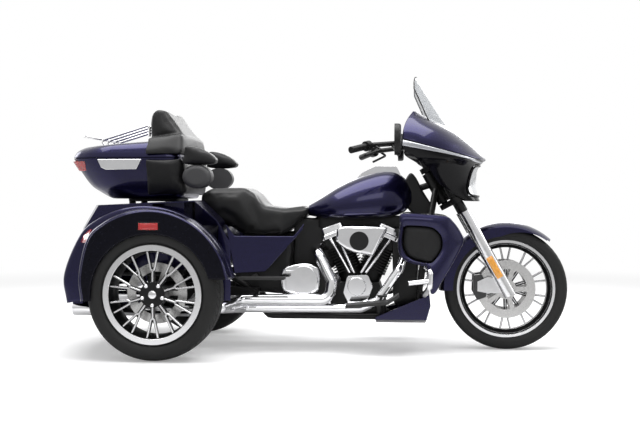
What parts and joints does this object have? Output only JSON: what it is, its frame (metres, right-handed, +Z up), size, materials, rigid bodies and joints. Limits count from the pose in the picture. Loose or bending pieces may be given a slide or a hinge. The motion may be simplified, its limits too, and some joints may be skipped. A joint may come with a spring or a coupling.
{
  "type": "motorized trike",
  "caption": "Three-wheeled touring motorcycle with a steered front wheel, twin rear wheels, fork-mounted fairing, trunk and top case.",
  "frame": {"origin": "on the floor, half way along the machine, on its centre plane", "axes": "+X forwards, +Y to the rider's left, +Z up"},
  "size_m": [2.62, 1.388, 1.4291],
  "materials": {
    "paint": "deep metallic blue, polished",
    "gloss_black": "gloss black",
    "black_metal": "black powder coat",
    "black_plastic": "matt black",
    "chrome": "polished",
    "fins": "black with bright fin edges",
    "wheel": "gloss black with machined edges",
    "disc": "turned",
    "tyre": "rubber",
    "rubber_pad": "ribbed",
    "leather": "grained, stitched",
    "screen": "clear",
    "lens": "clear",
    "lamp_red": "red lens"
  },
  "bodies": {
    "chassis": {"rear_axle": "black_metal", "frame": "black_metal", "engine_case": "black_metal", "cylinders": "fins", "rocker_covers": "chrome", "engine_covers": "chrome", "pushrod_tubes": "chrome", "air_cleaner": "chrome", "air_filter_disc": "black_plastic", "gearbox": "black_metal", "primary_cover": "chrome", "exhaust_headers": "chrome", "mufflers": "chrome", "tank": "paint", "tank_console": "chrome", "seat": "leather", "side_covers": "paint", "rear_body": "paint", "rear_fenders": "paint", "rear_lamps": "lamp_red", "top_case_base": "paint", "back_pad_lower": "leather", "armrests": "leather", "speaker_pods": "black_plastic", "top_case_mount": "black_metal", "case_latch": "chrome", "leg_fairings": "paint", "lower_pods": "black_plastic", "chin_spoiler": "paint", "engine_guard": "chrome", "footboards": "rubber_pad", "passenger_boards": "rubber_pad"},
    "steering": {"fork_clamps": "black_metal", "fork_tubes": "black_metal", "fork_sliders": "chrome", "front_calipers": "black_metal", "front_fender": "paint", "handlebar": "black_metal", "hand_controls": "black_plastic", "mirrors": "black_plastic", "fairing_outer": "paint", "fairing_lower": "gloss_black", "headlamp": "lens", "fairing_inner": "black_plastic", "windscreen": "screen"},
    "front_wheel": {"front_tyre": "tyre", "front_rim": "wheel", "front_discs": "disc"},
    "rear_wheel_right": {"rear_tyre_right": "tyre", "rear_rim_right": "wheel", "rear_disc_right": "disc"},
    "rear_wheel_left": {"rear_tyre_left": "tyre", "rear_rim_left": "wheel", "rear_disc_left": "disc"},
    "case_lid": {"top_case_lid": "paint", "back_pad_upper": "leather", "luggage_rack": "chrome"},
    "door": {"trunk_door": "paint"}
  },
  "joints": [
    {"name": "steer", "type": "hinge", "parent": "chassis", "child": "steering", "pos_m": [0.9221, 0, 0.3193], "axis": [-0.4848, 0, 0.8746], "range_deg": [-35, 35]},
    {"name": "front_wheel_spin", "type": "hinge", "parent": "steering", "child": "front_wheel", "pos_m": [0.9907, 0, 0.3193], "axis": [0, 1, 0], "continuous": true},
    {"name": "rear_wheel_right_spin", "type": "hinge", "parent": "chassis", "child": "rear_wheel_right", "pos_m": [-0.7433, -0.56, 0.3254], "axis": [0, 1, 0], "continuous": true},
    {"name": "rear_wheel_left_spin", "type": "hinge", "parent": "chassis", "child": "rear_wheel_left", "pos_m": [-0.7433, 0.56, 0.3254], "axis": [0, 1, 0], "continuous": true},
    {"name": "case_lid_hinge", "type": "hinge", "parent": "chassis", "child": "case_lid", "pos_m": [-0.96, 0.342, 1.0015], "axis": [-1, 0, 0], "range_deg": [0, 75]},
    {"name": "trunk_door_hinge", "type": "hinge", "parent": "chassis", "child": "door", "pos_m": [-1.304, 0, 0.368], "axis": [0, -1, 0], "range_deg": [0, 90]}
  ]
}
